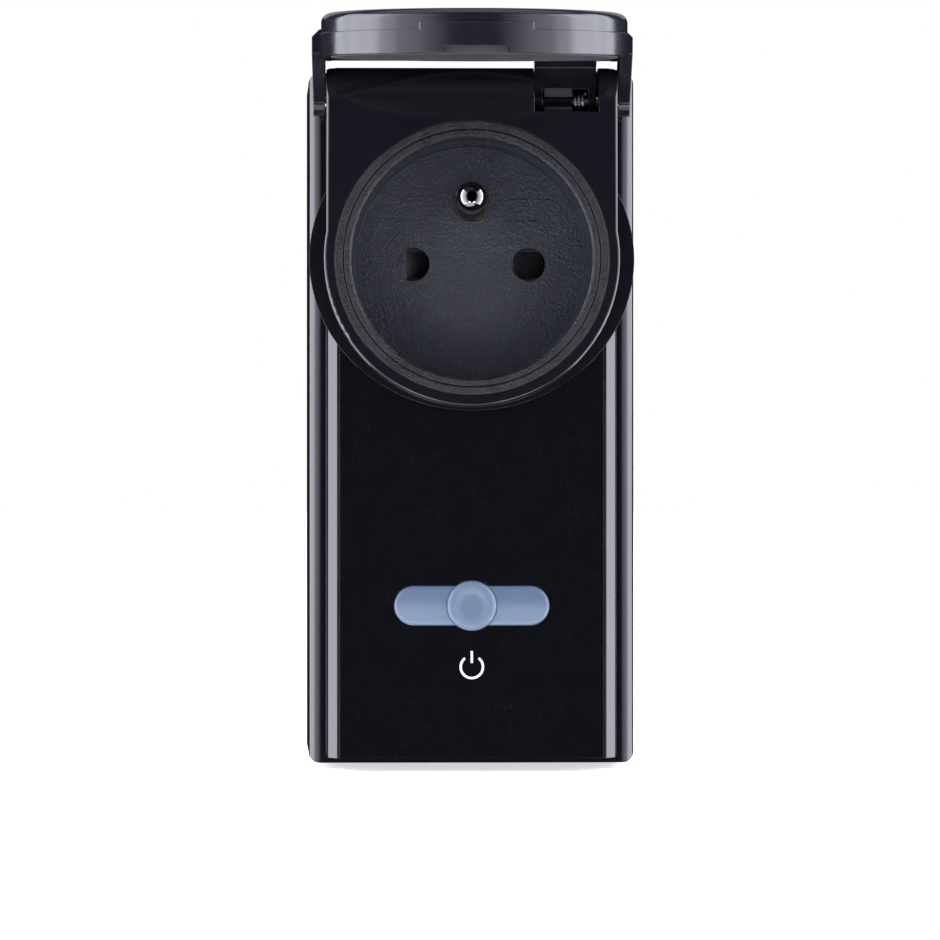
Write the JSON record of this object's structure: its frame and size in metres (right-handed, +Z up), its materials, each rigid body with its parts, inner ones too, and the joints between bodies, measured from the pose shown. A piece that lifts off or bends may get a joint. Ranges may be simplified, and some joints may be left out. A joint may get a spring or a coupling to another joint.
{
  "type": "smart plug",
  "caption": "Splash-proof plug-in radio switch: long casing, hybrid plug on the back, earthed pin socket under a hinged lid, button in a light bar.",
  "frame": {"origin": "centre of the two plug pins, on the wall plug's face; the front socket is coaxial with it", "axes": "+Y out of the plug's face along its pins, towards the wall; +Z up; -Y towards the user; +X to the user's right"},
  "size_m": [0.0544, 0.1155, 0.1201],
  "materials": {
    "casing": "glossy black moulded plastic",
    "panel": "piano-black front panel",
    "lid_plastic": "satin black moulded plastic",
    "socket_plastic": "fine-grained dark blue-grey plastic",
    "inner_plastic": "plain cream moulding",
    "dark_plastic": "plain dark moulding",
    "diffuser": "milky blue-grey translucent plastic",
    "button_plastic": "milky blue-grey translucent plastic",
    "seal_rubber": "soft dark seal",
    "clear_rubber": "pale silicone",
    "nickel": "bright nickel plating",
    "spring_steel": "bright drawn wire",
    "screw_steel": "zinc-plated steel",
    "bronze": "stamped bronze strip",
    "board": "green circuit board",
    "relay_blue": "blue moulded case",
    "copper_wire": "enamelled copper winding",
    "film_yellow": "yellow box capacitor",
    "ferrite": "grey-black ferrite",
    "shield": "tinned shield can",
    "brown_wire": "brown wire jacket",
    "black_wire": "black wire jacket",
    "blue_wire": "blue wire jacket",
    "ceramic": "glazed ceramic"
  },
  "bodies": {
    "casing": {"front_cover": "casing", "rear_cover": "casing", "front_panel": "panel", "casing_seal": "seal_rubber", "socket_insert": "socket_plastic", "contact_housing": "inner_plastic", "earth_pin": "nickel", "live_contact": "bronze", "neutral_contact": "bronze", "contact_springs": "spring_steel", "shutter_spring": "spring_steel", "hinge_pin": "nickel", "lid_spring": "spring_steel", "light_bar": "diffuser", "button_seal": "clear_rubber", "switch_body": "dark_plastic", "control_board": "board", "leds": "ceramic", "radio_module": "shield", "antenna": "copper_wire", "board_header": "dark_plastic", "power_board": "board", "relay_base": "relay_blue", "relay_case": "relay_blue", "relay_coil": "copper_wire", "film_capacitor": "film_yellow", "storage_capacitor": "dark_plastic", "transformer_core": "ferrite", "transformer_winding": "film_yellow", "fuse": "ceramic", "varistor": "relay_blue", "live_pin": "nickel", "neutral_pin": "nickel", "pin_carrier": "dark_plastic", "earth_bracket": "bronze", "neutral_bar": "bronze", "live_in_wire": "brown_wire", "live_out_wire": "black_wire", "neutral_wire": "blue_wire", "case_screws": "screw_steel", "board_screws": "screw_steel"},
    "lid": {"lid": "lid_plastic", "lid_seal": "seal_rubber"},
    "button": {"button": "button_plastic", "switch_plunger": "dark_plastic"},
    "shutter": {"shutter": "socket_plastic"},
    "armature": {"relay_armature": "screw_steel"}
  },
  "joints": [
    {"name": "lid_hinge", "type": "hinge", "parent": "casing", "child": "lid", "pos_m": [0, -0.0466, 0.0254], "axis": [1, 0, 0], "range_deg": [0, 84]},
    {"name": "button_press", "type": "slide", "parent": "casing", "child": "button", "axis": [0, 1, 0], "range_m": [0, 0.0005], "stiffness_N_per_m": 2000, "springref_m": -0.0004},
    {"name": "shutter_slide", "type": "slide", "parent": "casing", "child": "shutter", "axis": [-1, 0, 0], "range_m": [0, 0.0053], "stiffness_N_per_m": 120, "springref_m": -0.003, "deforming": ["shutter_spring"]},
    {"name": "armature_pivot", "type": "hinge", "parent": "casing", "child": "armature", "pos_m": [-0.01425, -0.0253, -0.0431], "axis": [1, 0, 0], "range_deg": [0, 4.5], "stiffness_Nm_per_rad": 0.02, "springref_deg": -2.86}
  ]
}
